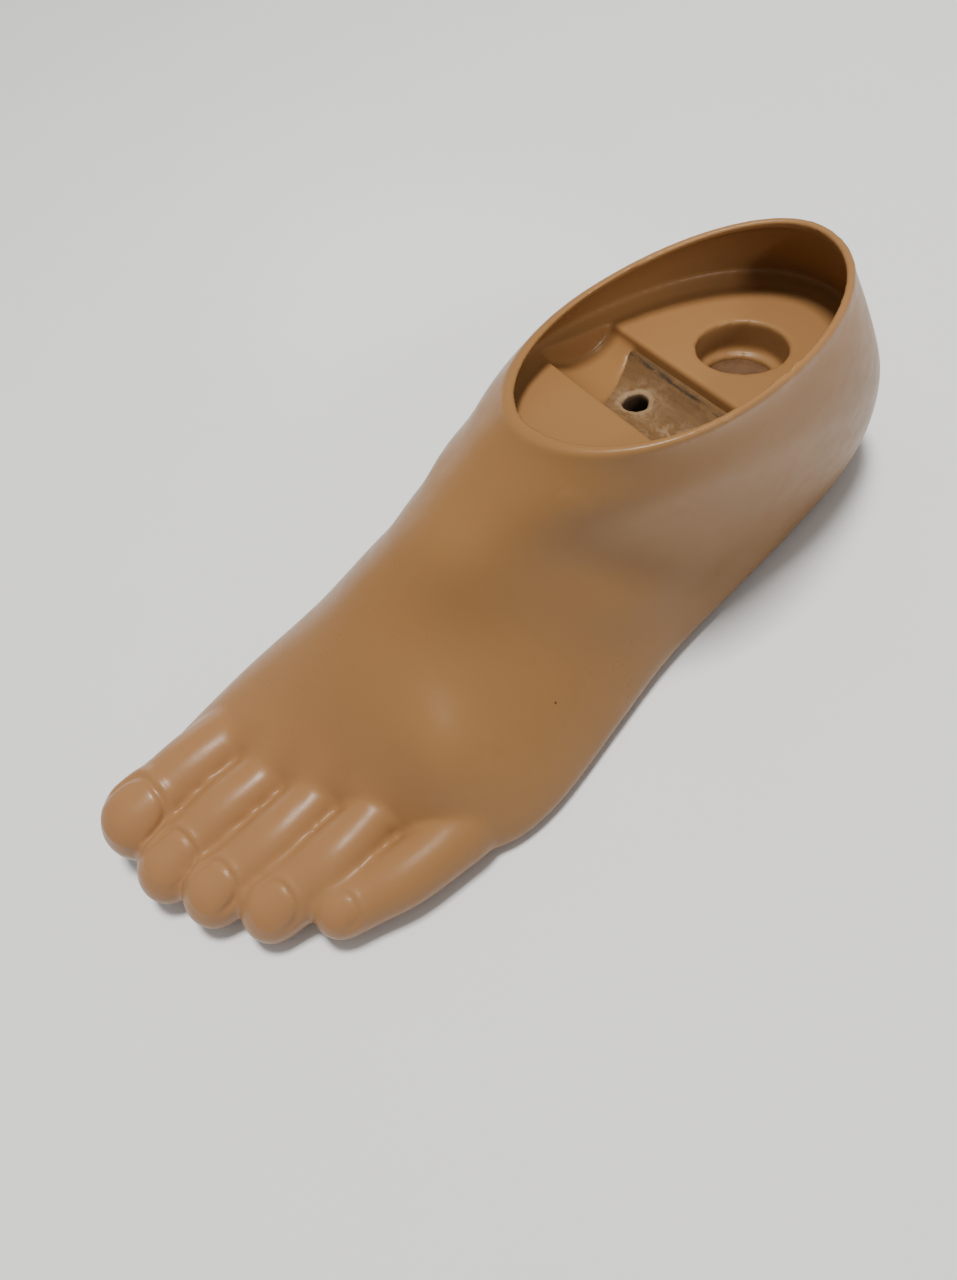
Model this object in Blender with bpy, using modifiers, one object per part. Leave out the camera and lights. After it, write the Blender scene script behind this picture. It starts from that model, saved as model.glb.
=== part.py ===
"""Left prosthetic foot blank for a single-axis ankle: a polyurethane foot moulded over a wooden keel.

+X is the little-toe side, -Y is towards the toes, +Z is up, and the origin is under the middle of
the foot on the sole.  Every size below is in millimetres and is scaled to metres as meshes are made.
"""

import math

import bmesh
import bpy
from mathutils import Matrix, Vector

MM = 0.001
GAP = 0.3  # clearance between pieces that touch

# Middle of the foot's bounding box, in the drawing frame that the sections below are set out in.
MID_X, MID_Y = 2.04, 0.64

# Foot form: fan-shaped sections from the ankle rim, over the heel and instep, to the toe webs.
# top y, top z, under y, under z, medial half width, lateral half width, centre x, top shift in x,
# height of the widest line (share), roundness above it, roundness below it, sweep of the section
SECTIONS = (
    (19, 79, 112, 78, 28, 34, 2, 0, 0.56, 2.0, 2.0, 0),  # ankle rim
    (11, 73, 116, 67, 33, 35, 0, -1, 0.5, 2.1, 2.3, 0),
    (3, 68.5, 123, 46, 35.5, 34.5, 0, -1, 0.5, 2.1, 2.4, 0),  # back of the heel
    (-4, 64.5, 129, 29, 36.5, 33.5, -1, -3, 0.5, 2.2, 2.3, 0),
    (-11, 61.5, 127, 9, 36, 32, -2, -3, 0.5, 2.0, 2.4, 0),
    (-16, 58.5, 114, -4, 36, 31, -3, -4, 0.5, 2.0, 2.6, 0),  # under the heel
    (-22, 55, 86, -4, 36, 32, -1, -5, 0.42, 2.1, 2.8, 0),
    (-29, 51, 51, -4, 38, 35, 0, -6, 0.4, 2.1, 3.0, 0),  # waist
    (-37, 46, 16, -4, 40.5, 41, 2, -8, 0.34, 2.1, 3.0, 0),
    (-46, 40, -17, -4, 44, 47, 4, -9, 0.3, 2.0, 3.0, 0.1),  # instep
    (-57, 31, -45, -4, 46, 48.5, 3, -8, 0.3, 2.1, 3.0, 0.28),  # ball
    (-67, 24, -65, -4, 44, 44, 3, -6, 0.4, 2.1, 3.0, 0.48),
    (-88, 16, -88, -4, 38, 36, 0, -5, 0.4, 2.3, 2.8, 0.6),  # toe webs
    (-107, 11, -108, -3, 27, 30, 0, -3, 0.4, 2.3, 2.8, 0.6),
)
NOSE = 9  # rounding in front of the last section
ARCH = 4  # rise of the sole under the inner arch
SOLE_EDGE = 2.5  # rounding of the sole's edge
EVENING = 5  # smoothing passes over the lofted skin
HOLLOW = ((4, -11, 57), (27, 28, 30))  # line on the outer instep, where the ankle stands up from the foot
HOLLOW_FILL, HOLLOW_REACH, HOLLOW_WAY = 4.5, 10, (0.77, -0.28, 0.57)  # how far, how wide and which way it is filled
TOE_LIFT = 0.2  # the toe pads clear the sole by this

# Toes, big toe first: root, knuckle and tip centre (x, y, z), then the radius at each.
TOES = (
    ((-25, -70, 11), (-23.5, -92, 12.3), (-22, -114, 12), (11, 12, 12.3)),
    ((-9, -67, 11), (-6, -91, 12.8), (-4, -114, 10), (9, 9.6, 9.5)),
    ((6, -60, 11), (11, -84, 12.3), (10.5, -106, 9.3), (8.8, 9.4, 9.5)),
    ((21.5, -53, 10.8), (26, -74, 12), (24, -95, 8.5), (8.6, 9.2, 9.3)),
    ((38.5, -47, 10), (40, -63, 10), (36.5, -80, 8.5), (9.2, 8.3, 7.9)),
)

# Ankle bay: a thin collar round two sloping platforms with a trough between them.
WALL = 2.8
FRONT_INSET = 1.7  # the sections meet the instep at a slant, so its wall needs more
PITCH = math.radians(-11)  # the platforms fall towards the heel
BAY_Y, BAY_Z = 53, 66  # a point of the platform plane
TROUGH_FRONT, TROUGH_REAR = 44, 66
TROUGH_SAG = 5  # depth of the keel's round seat under its edges
COVER_STEP = 3  # moulding left over the keel on the platforms
TROUGH_MEDIAL, TROUGH_LATERAL = -29, 30
BAND_RISE, BAND_SHRINK = 1.8, (0.87, 0.89)  # sloped band round the platforms: height, and share of width and length left

# Heel bumper pocket in the rear platform.
POCKET_X, POCKET_Y, POCKET_R, POCKET_DEPTH = 3.5, 84, 11.6, 9
SEAT_R, SEAT_T, SEAT_SINK = 9, 2, 0.6

# Keel and its bolt way.
KEEL_X0, KEEL_X1 = -24, 22
KEEL_FRONT, KEEL_BOTTOM, KEEL_REAR = -34, 8.1, 100
KEEL_SKIN = 7  # least moulding round the keel
BOLT_X, BOLT_Y, BOLT_HOLE_R = -3.5, 54.5, 3.4
BUSH_R, BUSH_BORE_R, BUSH_BOTTOM, BUSH_TOP = 5.2, 3.6, 16.3, 49
WASHER_R, WASHER_HOLE_R, WASHER_T = 11.7, 4.2, 2
SOLE_HOLE_R, SOLE_HOLE_TOP = 12.1, 16
PLUG_R, PLUG_BOTTOM, PLUG_TOP = 11.7, 0.8, 9

# Toe break: the line that the toes bend about, at the belting's level.
HINGE_Y, HINGE_Z = -42, 7
BREAK_ANGLE = math.radians(10.3)  # lean of each side of the foam wedge
BREAK_GAP = 0.6  # half the slit under the hinge line

# Toe belting and its tacks.
BELT_X0, BELT_X1, BELT_T = -19, 23, 1.6
BELT_REAR, BELT_FRONT = -6, -86
TACK_X, TACK_Y = (-11, 15), (-14, -26)
TACK_HEAD_R, TACK_HEAD_T, TACK_SHANK_R, TACK_TIP = 2.6, 0.9, 0.8, 18

FOAM_TAN = (0.335, 0.186, 0.088, 1)
FOAM_LIGHT = (0.365, 0.205, 0.100, 1)


def clear_scene():
    for obj in list(bpy.data.objects):
        bpy.data.objects.remove(obj, do_unlink=True)


def collection(name):
    made = bpy.data.collections.new(name)
    bpy.context.scene.collection.children.link(made)
    return made


def material(name, colour, roughness, metallic=0.0):
    made = bpy.data.materials.new(name)
    made.use_nodes = True
    shader = made.node_tree.nodes["Principled BSDF"]
    shader.inputs["Base Color"].default_value = colour
    shader.inputs["Roughness"].default_value = roughness
    shader.inputs["Metallic"].default_value = metallic
    made.diffuse_color = colour
    return made


def place(x, y, z):
    """A point of the drawing frame, in the object's own frame and in metres."""
    return Vector(((x - MID_X) * MM, (y - MID_Y) * MM, z * MM))


def new_object(name, mesh, into):
    obj = bpy.data.objects.new(name, mesh)
    into.objects.link(obj)
    return obj


def mesh_from(name, bm):
    bmesh.ops.recalc_face_normals(bm, faces=bm.faces)
    mesh = bpy.data.meshes.new(name)
    bm.to_mesh(mesh)
    bm.free()
    return mesh


# ---- the foot's form ----


def blend_rows(rows, t):
    """A smooth curve through the rows, read at t rows from the first."""
    last = len(rows) - 1
    i = min(int(t), last - 1)
    f = t - i
    p1, p2 = rows[i], rows[i + 1]
    p0 = rows[i - 1] if i else [2 * a - b for a, b in zip(p1, p2)]
    p3 = rows[i + 2] if i + 2 <= last else [2 * b - a for a, b in zip(p1, p2)]
    return [
        0.5 * (2 * b + (c - a) * f + (2 * a - 5 * b + 4 * c - d) * f * f + (3 * b - a - 3 * c + d) * f**3)
        for a, b, c, d in zip(p0, p1, p2, p3)
    ]


def on_sole(z, floor):
    """z pressed flat onto the sole, with a rounded edge."""
    d = z - floor
    if d < -SOLE_EDGE:
        return floor
    return floor + ((d + SOLE_EDGE) ** 2 / (4 * SOLE_EDGE) if d < SOLE_EDGE else d)


def arch_height(x, y):
    return ARCH * math.exp(-(((y - 25) / 38) ** 2)) / (1 + math.exp((x + 2) / 7))


def section_ring(row, around, inset=0.0, shrink=1.0, forward=0.0):
    """One closed section of the form, pulled in by inset and pushed forward for the nose."""
    ty, tz, by, bz, xm, xl, xc, skew, k, top, low, sweep = row
    length = math.hypot(ty - by, tz - bz)
    ring = []
    for i in range(around):
        a = 2 * math.pi * i / around
        c, s = math.cos(a) * shrink, math.sin(a) * shrink
        power = top if s > 0 else low
        across = math.copysign(abs(c) ** (2 / power), c)
        up = abs(s) ** (2 / power)
        u = k + (1 - k) * up if s > 0 else k - k * up
        x = xc + skew * u + across * ((xl if c > 0 else xm) - inset)
        v = (inset + u * (length - inset - inset * FRONT_INSET)) / length
        y = by + (ty - by) * v + sweep * (x - xc) - forward
        z = on_sole(bz + (tz - bz) * v, arch_height(x, y)) if not inset else bz + (tz - bz) * v
        ring.append((x, y, z))
    return ring


def form_rings(along, around, inset=0.0):
    rings = []
    for i in range(along):
        row = blend_rows(SECTIONS, (len(SECTIONS) - 1) * i / (along - 1))
        rings.append(section_ring(row, around, inset))
    return rings


def nose_rings(around, steps=4):
    rings = []
    for i in range(1, steps + 1):
        a = math.radians(84) * i / steps
        rings.append(section_ring(SECTIONS[-1], around, 0.0, math.cos(a), NOSE * math.sin(a)))
    return rings


def to_line(p, a, b):
    """Distance from p to the stretch from a to b."""
    along = min(max((p - a).dot(b - a) / (b - a).length_squared, 0), 1)
    return (p - a - (b - a) * along).length


def even_out(bm, free, hollow=True):
    """Smooths the skin, whose sole only slides in its plane, then fills the hollow in front of the ankle."""
    sole = [v for v in free if v.co.z < 0.01 * MM]
    rest = [v for v in free if v.co.z >= 0.01 * MM]
    for _ in range(EVENING):
        bmesh.ops.smooth_vert(bm, verts=rest, factor=0.5, use_axis_x=True, use_axis_y=True, use_axis_z=True)
        bmesh.ops.smooth_vert(bm, verts=sole, factor=0.5, use_axis_x=True, use_axis_y=True, use_axis_z=False)
    a, b = (place(*p) for p in HOLLOW)
    for v in rest if hollow else []:
        share = math.exp(-((to_line(v.co, a, b) / (HOLLOW_REACH * MM)) ** 2))
        v.co += Vector(HOLLOW_WAY) * HOLLOW_FILL * MM * share


def loft(name, rings, even=False, hollow=True):
    """A closed skin over rings of equal length."""
    bm = bmesh.new()
    made = [[bm.verts.new(place(*p)) for p in ring] for ring in rings]
    count = len(rings[0])
    for one, two in zip(made, made[1:]):
        for j in range(count):
            bm.faces.new((one[j], one[(j + 1) % count], two[(j + 1) % count], two[j]))
    for ring, inner in ((made[0], rings[0]), (made[-1], rings[-1])):
        middle = bm.verts.new(place(*[sum(p[i] for p in inner) / count for i in range(3)]))
        for j in range(count):
            bm.faces.new((ring[j], ring[(j + 1) % count], middle))
    if even:
        even_out(bm, [v for ring in made[1:] for v in ring], hollow)
    bmesh.ops.remove_doubles(bm, verts=bm.verts, dist=1e-6)
    bmesh.ops.dissolve_degenerate(bm, edges=bm.edges, dist=1e-6)
    return mesh_from(name, bm)


def toe_mesh(name, toe, along=9, around=16, dome=5):
    """A rounded, slightly flattened finger from root to tip."""
    points = [tuple(p) + (r,) for p, r in zip(toe[:3], toe[3])]
    path = [blend_rows(points, 2 * i / (along - 1)) for i in range(along)]
    ahead = (Vector(path[-1][:3]) - Vector(path[-2][:3])).normalized()
    side = Vector((-ahead.y, ahead.x, 0)).normalized()
    side = side if side.x > 0 else -side
    tip, radius = Vector(path[-1][:3]), path[-1][3]
    circles = [(Vector(p[:3]), p[3]) for p in path]
    for i in range(1, dome + 1):
        a = math.radians(87) * i / dome
        circles.append((tip + ahead * radius * math.sin(a), radius * math.cos(a)))
    rings = []
    for centre, r in circles:
        ring = []
        for j in range(around):
            a = 2 * math.pi * j / around
            p = centre + side * (math.cos(a) * r) + Vector((0, 0, math.sin(a) * r * 0.96))
            ring.append((p.x, p.y, on_sole(p.z, TOE_LIFT)))
        rings.append(ring)
    return loft(name, rings)


# ---- simple solids and cutters ----


def prism(name, outline, x0, x1, into):
    """A flat (y, z) outline given a width in x, as a filled curve turned into a mesh."""
    curve = bpy.data.curves.new(name, "CURVE")
    curve.dimensions = "2D"
    curve.fill_mode = "BOTH"
    curve.extrude = (x1 - x0) / 2 * MM
    spline = curve.splines.new("POLY")
    spline.points.add(len(outline) - 1)
    for point, (y, z) in zip(spline.points, outline):
        point.co = ((y - MID_Y) * MM, z * MM, 0, 1)
    spline.use_cyclic_u = True
    guide = bpy.data.objects.new(name + "_outline", curve)
    bpy.context.scene.collection.objects.link(guide)
    bpy.context.view_layer.update()
    mesh = bpy.data.meshes.new_from_object(guide.evaluated_get(bpy.context.evaluated_depsgraph_get()))
    bpy.data.objects.remove(guide, do_unlink=True)
    turn = Matrix(((0, 0, 1), (1, 0, 0), (0, 1, 0))).to_4x4()
    bm = bmesh.new()
    bm.from_mesh(mesh)
    bpy.data.meshes.remove(mesh)
    bmesh.ops.remove_doubles(bm, verts=bm.verts, dist=1e-6)
    bmesh.ops.transform(bm, matrix=Matrix.Translation(((x0 + x1) / 2 * MM - MID_X * MM, 0, 0)) @ turn, verts=bm.verts)
    return new_object(name, mesh_from(name, bm), into)


def turned(name, profile, centre, axis, into, steps=32):
    """A profile of (radius, height), listed top to bottom, swept round an axis through centre."""
    bm = bmesh.new()
    points = [bm.verts.new((r * MM, 0, z * MM)) for r, z in profile]
    for a, b in zip(points, points[1:]):
        bm.edges.new((a, b))
    mesh = bpy.data.meshes.new(name)
    bm.to_mesh(mesh)
    bm.free()
    obj = new_object(name, mesh, into)
    screw = obj.modifiers.new("turn", "SCREW")
    screw.steps = screw.render_steps = steps
    screw.use_merge_vertices = True
    screw.merge_threshold = 0.00001
    obj.location = place(*centre)
    obj.rotation_euler = Vector((0, 0, 1)).rotation_difference(Vector(axis)).to_euler()
    return obj


def cut(obj, cutter, operation="DIFFERENCE"):
    made = obj.modifiers.new(cutter.name, "BOOLEAN")
    made.operation = operation
    made.solver = "EXACT"
    made.object = cutter


def bay_point(s, h):
    """(y, z) at s along the platforms from the middle of the trough, and h above them."""
    middle = (TROUGH_FRONT + TROUGH_REAR) / 2
    y0, z0 = middle, BAY_Z + math.tan(PITCH) * (middle - BAY_Y)
    return (y0 + s * math.cos(PITCH) - h * math.sin(PITCH), z0 + s * math.sin(PITCH) + h * math.cos(PITCH))


def bay_z(y, h=0.0):
    return BAY_Z + math.tan(PITCH) * (y - BAY_Y) + h / math.cos(PITCH)


def trough_arc(points=13):
    """The keel's round seat, front to rear."""
    half = (TROUGH_REAR - TROUGH_FRONT) / 2 / math.cos(PITCH)
    radius = (half * half + TROUGH_SAG**2) / (2 * TROUGH_SAG)
    arc = []
    for i in range(points):
        s = half * (2 * i / (points - 1) - 1)
        drop = math.sqrt(radius * radius - s * s) - math.sqrt(radius * radius - half * half)
        arc.append(bay_point(s, -COVER_STEP - drop))
    return arc


def keel_outline(grow=0.0):
    """Side view of the keel; grow makes it a little larger all round, for the space that holds it."""
    tongue = -POCKET_DEPTH - SEAT_T - 1.6
    g = grow
    outline = [(KEEL_REAR + g, 18 - g), (84, KEEL_BOTTOM - g), (KEEL_FRONT - g, KEEL_BOTTOM - g)]
    outline += [(KEEL_FRONT - g, 20 + g), (-12, 38 + g), (6, 52 + g), (26 - g, bay_z(26, -COVER_STEP + g))]
    outline += [(y, z + g) for y, z in trough_arc()]
    outline += [(70 + g, bay_z(70, -COVER_STEP + g)), (70 + g, bay_z(70, tongue + g))]
    outline += [(KEEL_REAR + g, bay_z(KEEL_REAR, tongue + g))]
    return outline


def cavity_mesh():
    """The collar's inside, open at the top; below, it draws in so that a sloped band stays round the platforms."""
    rings = form_rings(40, 40, WALL)[:14]
    top = [(x, y, z + 14) for x, y, z in rings[0]]
    mesh = loft("collar_inside", [top] + rings, even=True, hollow=False)
    up = Vector(bay_axis())
    rise = up * BAND_RISE * MM
    bm = bmesh.new()
    bm.from_mesh(mesh)
    whole = bm.verts[:] + bm.edges[:] + bm.faces[:]
    level = place(0, BAY_Y, BAY_Z) + rise
    bmesh.ops.bisect_plane(bm, geom=whole, plane_co=level, plane_no=up, clear_inner=True)
    rim = [e for e in bm.edges if e.is_boundary]
    grown = bmesh.ops.extrude_edge_only(bm, edges=rim)["geom"]
    low = [v for v in grown if isinstance(v, bmesh.types.BMVert)]
    middle = sum((v.co for v in low), Vector()) / len(low)
    for v in low:
        v.co.x = middle.x + (v.co.x - middle.x) * BAND_SHRINK[0]
        v.co.y = middle.y + (v.co.y - middle.y) * BAND_SHRINK[1]
        v.co -= up * (v.co - level).dot(up) + rise
    bmesh.ops.contextual_create(bm, geom=[e for e in bm.edges if e.is_boundary])
    bmesh.ops.recalc_face_normals(bm, faces=bm.faces)
    bm.to_mesh(mesh)
    bm.free()
    return mesh


def make_cutters(tools):
    made = {}
    far = 90
    lean = math.tan(BREAK_ANGLE)
    up = 70
    rear, front, g = HINGE_Y + BREAK_GAP, HINGE_Y - BREAK_GAP, GAP
    made["ahead"] = prism(
        "ahead_of_break",
        [(rear, -20), (rear, HINGE_Z), (rear + up * lean, HINGE_Z + up), (-170, HINGE_Z + up), (-170, -20)],
        -far, far, tools,
    )
    made["behind"] = prism(
        "behind_break",
        [(front, -20), (front, HINGE_Z), (front - up * lean, HINGE_Z + up), (170, 110), (170, -20)],
        -far, far, tools,
    )
    low = 4
    made["wedge"] = prism(
        "break_wedge",
        [
            (rear + low * lean - g, HINGE_Z + low),
            (rear + up * lean - g, HINGE_Z + up),
            (front - up * lean + g, HINGE_Z + up),
            (front - low * lean + g, HINGE_Z + low),
        ],
        -far, far, tools,
    )
    made["cavity"] = new_object("collar_inside", cavity_mesh(), tools)
    arc = trough_arc()
    half = (TROUGH_REAR - TROUGH_FRONT) / 2 / math.cos(PITCH)
    outline = [bay_point(-half, 6)] + arc + [bay_point(half, 6)]
    made["trough"] = prism("trough", outline, TROUGH_MEDIAL, TROUGH_LATERAL, tools)
    made["keel_limit"] = new_object("keel_limit", loft("keel_limit", form_rings(26, 32, KEEL_SKIN)), tools)
    made["void_limit"] = new_object("void_limit", loft("void_limit", form_rings(26, 32, KEEL_SKIN - GAP)), tools)
    made["keel_space"] = prism("keel_space", keel_outline(GAP), KEEL_X0 - GAP, KEEL_X1 + GAP, tools)
    cut(made["keel_space"], made["void_limit"], "INTERSECT")
    made["belt_space"] = prism(
        "belt_space",
        [
            (BELT_REAR + GAP, HINGE_Z - BELT_T / 2 - GAP),
            (BELT_REAR + GAP, HINGE_Z + BELT_T / 2 + GAP),
            (BELT_FRONT - GAP, HINGE_Z + BELT_T / 2 + GAP),
            (BELT_FRONT - GAP, HINGE_Z - BELT_T / 2 - GAP),
        ],
        BELT_X0 - GAP, BELT_X1 + GAP, tools,
    )
    return made


def disc_profile(radius, top, bottom):
    return [(0, top), (radius, top), (radius, bottom), (0, bottom)]


def bay_axis():
    return (0, -math.sin(PITCH), math.cos(PITCH))


def pocket_floor():
    """Centre of the pocket's mouth on the platform."""
    return (POCKET_X, POCKET_Y, bay_z(POCKET_Y))


def tack_places():
    return [(x, y) for y in TACK_Y for x in TACK_X]


def make_covers(parts, tools, cutters):
    """The moulding in three lengths: behind the toe break, at it, and in front of it."""
    around = 36
    form = loft("foot_form", form_rings(36, around) + nose_rings(around), even=True)
    rear = new_object("hindfoot_cover", form, parts)
    cut(rear, cutters["ahead"])
    cut(rear, cutters["cavity"])
    cut(rear, cutters["keel_space"])
    cut(rear, cutters["trough"])
    pocket = turned("bumper_pocket", disc_profile(POCKET_R, 8, -POCKET_DEPTH), pocket_floor(), bay_axis(), tools)
    seat = turned(
        "seat_recess",
        disc_profile(SEAT_R + GAP, -POCKET_DEPTH + 1, -POCKET_DEPTH - SEAT_SINK - SEAT_T - GAP),
        pocket_floor(), bay_axis(), tools,
    )
    hole = turned("sole_hole", disc_profile(SOLE_HOLE_R, KEEL_BOTTOM + 3, -4), (BOLT_X, BOLT_Y, 0), (0, 0, 1), tools)
    for tool in (pocket, seat, hole, cutters["belt_space"]):
        cut(rear, tool)
    head_top = HINGE_Z - BELT_T / 2
    for i, (x, y) in enumerate(tack_places()):
        profile = disc_profile(TACK_HEAD_R + GAP, head_top + 0.4, head_top - TACK_HEAD_T - 2 * GAP)
        cut(rear, turned(f"tack_head_space_{i + 1}", profile, (x, y, 0), (0, 0, 1), tools, 16))
    bend = new_object("toe_break_foam", form.copy(), parts)
    cut(bend, cutters["wedge"], "INTERSECT")
    front = new_object("forefoot_cover", form.copy(), parts)
    for i, toe in enumerate(TOES):
        solid = new_object(f"toe_{i + 1}_form", toe_mesh(f"toe_{i + 1}_form", toe), tools)
        cut(front, solid, "UNION")
    cut(front, cutters["behind"])
    cut(front, cutters["belt_space"])
    return rear, bend, front


def make_keel(parts, tools, cutters):
    keel = prism("wood_keel", keel_outline(), KEEL_X0, KEEL_X1, parts)
    cut(keel, cutters["keel_limit"], "INTERSECT")
    bore = [
        (0, 90), (BOLT_HOLE_R, 90), (BOLT_HOLE_R, BUSH_TOP + GAP), (BUSH_R + GAP, BUSH_TOP + GAP),
        (BUSH_R + GAP, SOLE_HOLE_TOP), (SOLE_HOLE_R, SOLE_HOLE_TOP), (SOLE_HOLE_R, -4), (0, -4),
    ]
    cut(keel, turned("bolt_way", bore, (BOLT_X, BOLT_Y, 0), (0, 0, 1), tools))
    for i, (x, y) in enumerate(tack_places()):
        profile = disc_profile(TACK_SHANK_R + GAP, TACK_TIP + GAP, -4)
        cut(keel, turned(f"tack_hole_{i + 1}", profile, (x, y, 0), (0, 0, 1), tools, 12))
    return keel


def make_bolt_seat(parts):
    ring = [(BUSH_R, BUSH_TOP), (BUSH_R, BUSH_BOTTOM), (BUSH_BORE_R, BUSH_BOTTOM), (BUSH_BORE_R, BUSH_TOP)]
    bush = turned("bolt_bush", ring + ring[:1], (BOLT_X, BOLT_Y, 0), (0, 0, 1), parts)
    top, bottom = SOLE_HOLE_TOP - GAP, SOLE_HOLE_TOP - GAP - WASHER_T
    ring = [(WASHER_R, top), (WASHER_R, bottom), (WASHER_HOLE_R, bottom), (WASHER_HOLE_R, top)]
    washer = turned("washer_plate", ring + ring[:1], (BOLT_X, BOLT_Y, 0), (0, 0, 1), parts)
    bevel = PLUG_TOP - PLUG_BOTTOM
    profile = [(0, bevel), (PLUG_R - 1, bevel), (PLUG_R, bevel - 1), (PLUG_R, 0.8), (PLUG_R - 0.8, 0), (0, 0)]
    plug = turned("sole_plug", profile, (BOLT_X, BOLT_Y, PLUG_BOTTOM), (0, 0, 1), parts)
    top = -POCKET_DEPTH - SEAT_SINK
    seat = turned("bumper_seat_disc", disc_profile(SEAT_R, top, top - SEAT_T), pocket_floor(), bay_axis(), parts)
    return bush, washer, plug, seat


def make_belt(parts, tools, cutters):
    z0, z1, split = HINGE_Z - BELT_T / 2, HINGE_Z + BELT_T / 2, 0.35
    spans = (("toe_belt_rear", HINGE_Y + split, BELT_REAR), ("toe_belt_front", BELT_FRONT, HINGE_Y - split))
    belts = [prism(n, [(a, z0), (b, z0), (b, z1), (a, z1)], BELT_X0, BELT_X1, parts) for n, a, b in spans]
    tacks = []
    for i, (x, y) in enumerate(tack_places()):
        hole = turned(f"belt_hole_{i + 1}", disc_profile(TACK_SHANK_R + GAP, 12, 2), (x, y, 0), (0, 0, 1), tools, 12)
        cut(belts[0], hole)
        top = z0 - GAP
        profile = [
            (0, TACK_TIP), (TACK_SHANK_R, TACK_TIP - 3), (TACK_SHANK_R, top), (TACK_HEAD_R, top),
            (TACK_HEAD_R, top - 0.4), (TACK_HEAD_R - 0.7, top - TACK_HEAD_T), (0, top - TACK_HEAD_T),
        ]
        tacks.append(turned(f"belt_tack_{i + 1}", profile, (x, y, 0), (0, 0, 1), parts, 16))
    return belts, tacks


def move_origin(obj, centre):
    """Puts a moving piece's origin on its joint's axis."""
    target = place(*centre)
    obj.data.transform(Matrix.Translation(obj.location - target))
    obj.location = target


def smooth(obj, degrees=40):
    obj.data.shade_smooth()
    obj.data.set_sharp_from_angle(angle=math.radians(degrees))


def finish(materials):
    for obj, made in materials:
        obj.data.materials.clear()
        obj.data.materials.append(made)
        smooth(obj)


def main():
    clear_scene()
    parts, tools = collection("prosthetic_foot"), collection("cutters")
    cutters = make_cutters(tools)
    rear, bend, front = make_covers(parts, tools, cutters)
    keel = make_keel(parts, tools, cutters)
    bush, washer, plug, seat = make_bolt_seat(parts)
    belts, tacks = make_belt(parts, tools, cutters)
    hinge = (MID_X, HINGE_Y, HINGE_Z)
    move_origin(front, hinge)
    move_origin(belts[1], hinge)
    zinc = material("zinc_plated_steel", (0.45, 0.45, 0.44, 1), 0.38, 0.9)
    webbing = material("cotton_webbing", (0.42, 0.36, 0.26, 1), 0.85)
    finish(
        [
            (rear, material("polyurethane_tan", FOAM_TAN, 0.42)),
            (bend, material("polyurethane_break", FOAM_TAN, 0.42)),
            (front, material("polyurethane_forefoot", FOAM_LIGHT, 0.40)),
            (keel, material("worn_maple", (0.19, 0.12, 0.055, 1), 0.75)),
            (bush, zinc), (washer, zinc),
            (plug, material("plug_rubber", (0.16, 0.085, 0.045, 1), 0.6)),
            (seat, material("seat_fibre", (0.20, 0.10, 0.045, 1), 0.6)),
            (belts[0], webbing), (belts[1], webbing),
        ]
        + [(tack, zinc) for tack in tacks]
    )
    for tool in tools.objects:
        tool.hide_render = True
        tool.display_type = "WIRE"


main()
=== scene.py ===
"""The prosthetic foot's looks: one fine polyurethane skin, and the worn keel in its ankle trough."""
import math

import bmesh
import bpy
import numpy as np
from mathutils import Matrix, Vector, noise


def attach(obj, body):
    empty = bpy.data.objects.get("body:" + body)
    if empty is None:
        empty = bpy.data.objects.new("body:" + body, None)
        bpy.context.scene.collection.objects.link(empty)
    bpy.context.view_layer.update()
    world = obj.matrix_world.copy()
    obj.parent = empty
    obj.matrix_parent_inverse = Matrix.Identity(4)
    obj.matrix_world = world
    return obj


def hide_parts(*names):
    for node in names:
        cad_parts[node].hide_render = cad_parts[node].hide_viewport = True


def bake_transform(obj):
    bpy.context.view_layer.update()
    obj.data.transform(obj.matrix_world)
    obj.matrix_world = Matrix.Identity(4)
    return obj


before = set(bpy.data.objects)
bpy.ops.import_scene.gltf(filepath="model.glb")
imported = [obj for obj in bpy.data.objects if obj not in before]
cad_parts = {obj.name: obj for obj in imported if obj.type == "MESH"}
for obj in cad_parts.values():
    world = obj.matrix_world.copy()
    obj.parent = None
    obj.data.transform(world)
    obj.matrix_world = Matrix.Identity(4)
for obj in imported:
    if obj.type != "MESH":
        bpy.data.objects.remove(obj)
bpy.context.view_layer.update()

MM = 0.001

# ---- sizes, in millimetres, as the model's source has them ----
MID_X, MID_Y = 2.04, 0.64
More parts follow.
